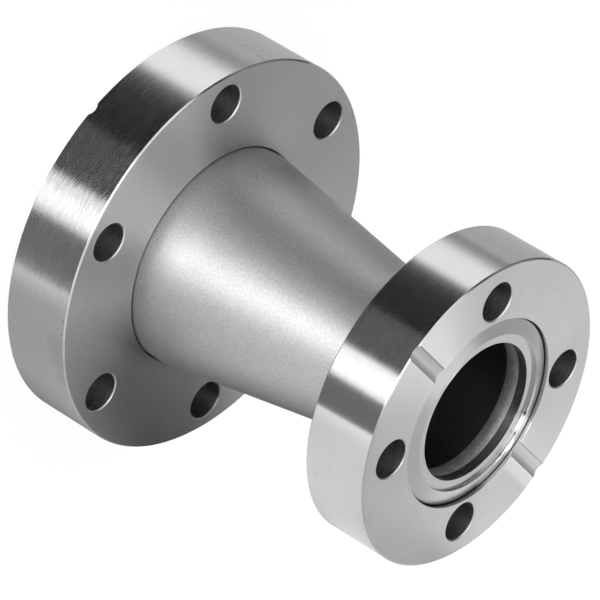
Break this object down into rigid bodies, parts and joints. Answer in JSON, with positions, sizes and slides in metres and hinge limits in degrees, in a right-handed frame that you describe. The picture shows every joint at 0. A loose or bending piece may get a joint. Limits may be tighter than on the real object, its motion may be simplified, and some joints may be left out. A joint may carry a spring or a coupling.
{
  "type": "conical flanged vacuum reducer",
  "caption": "Conical vacuum reducer with a fixed knife-edge bolt flange at the wide end and a rotatable knife-edge bolt flange at the narrow end.",
  "frame": {"origin": "centre of the large flange's sealing face, on which the part stands", "axes": "+Z along the tube's axis, from the large flange to the small one; a leak-check groove of the large flange lies at 120 degrees from +X"},
  "size_m": [0.0694, 0.0694, 0.0692],
  "materials": {
    "turned_steel": "fine turned stainless steel, satin faces and brighter rims",
    "polished_steel": "fine turned and polished stainless steel",
    "blasted_steel": "matt bead-blasted stainless steel",
    "weld_steel": "as-welded stainless steel",
    "spring_steel": "drawn stainless wire"
  },
  "bodies": {
    "fitting": {"large_flange": "turned_steel", "cone_tube": "blasted_steel", "large_end_weld": "weld_steel", "small_end_weld": "weld_steel", "knife_edge_hub": "polished_steel"},
    "ring": {"bolt_ring": "turned_steel", "retaining_wire": "spring_steel"}
  },
  "joints": [
    {"name": "ring_spin", "type": "hinge", "parent": "fitting", "child": "ring", "pos_m": [0, 0, 0.0632], "axis": [0, 0, 1], "continuous": true}
  ]
}
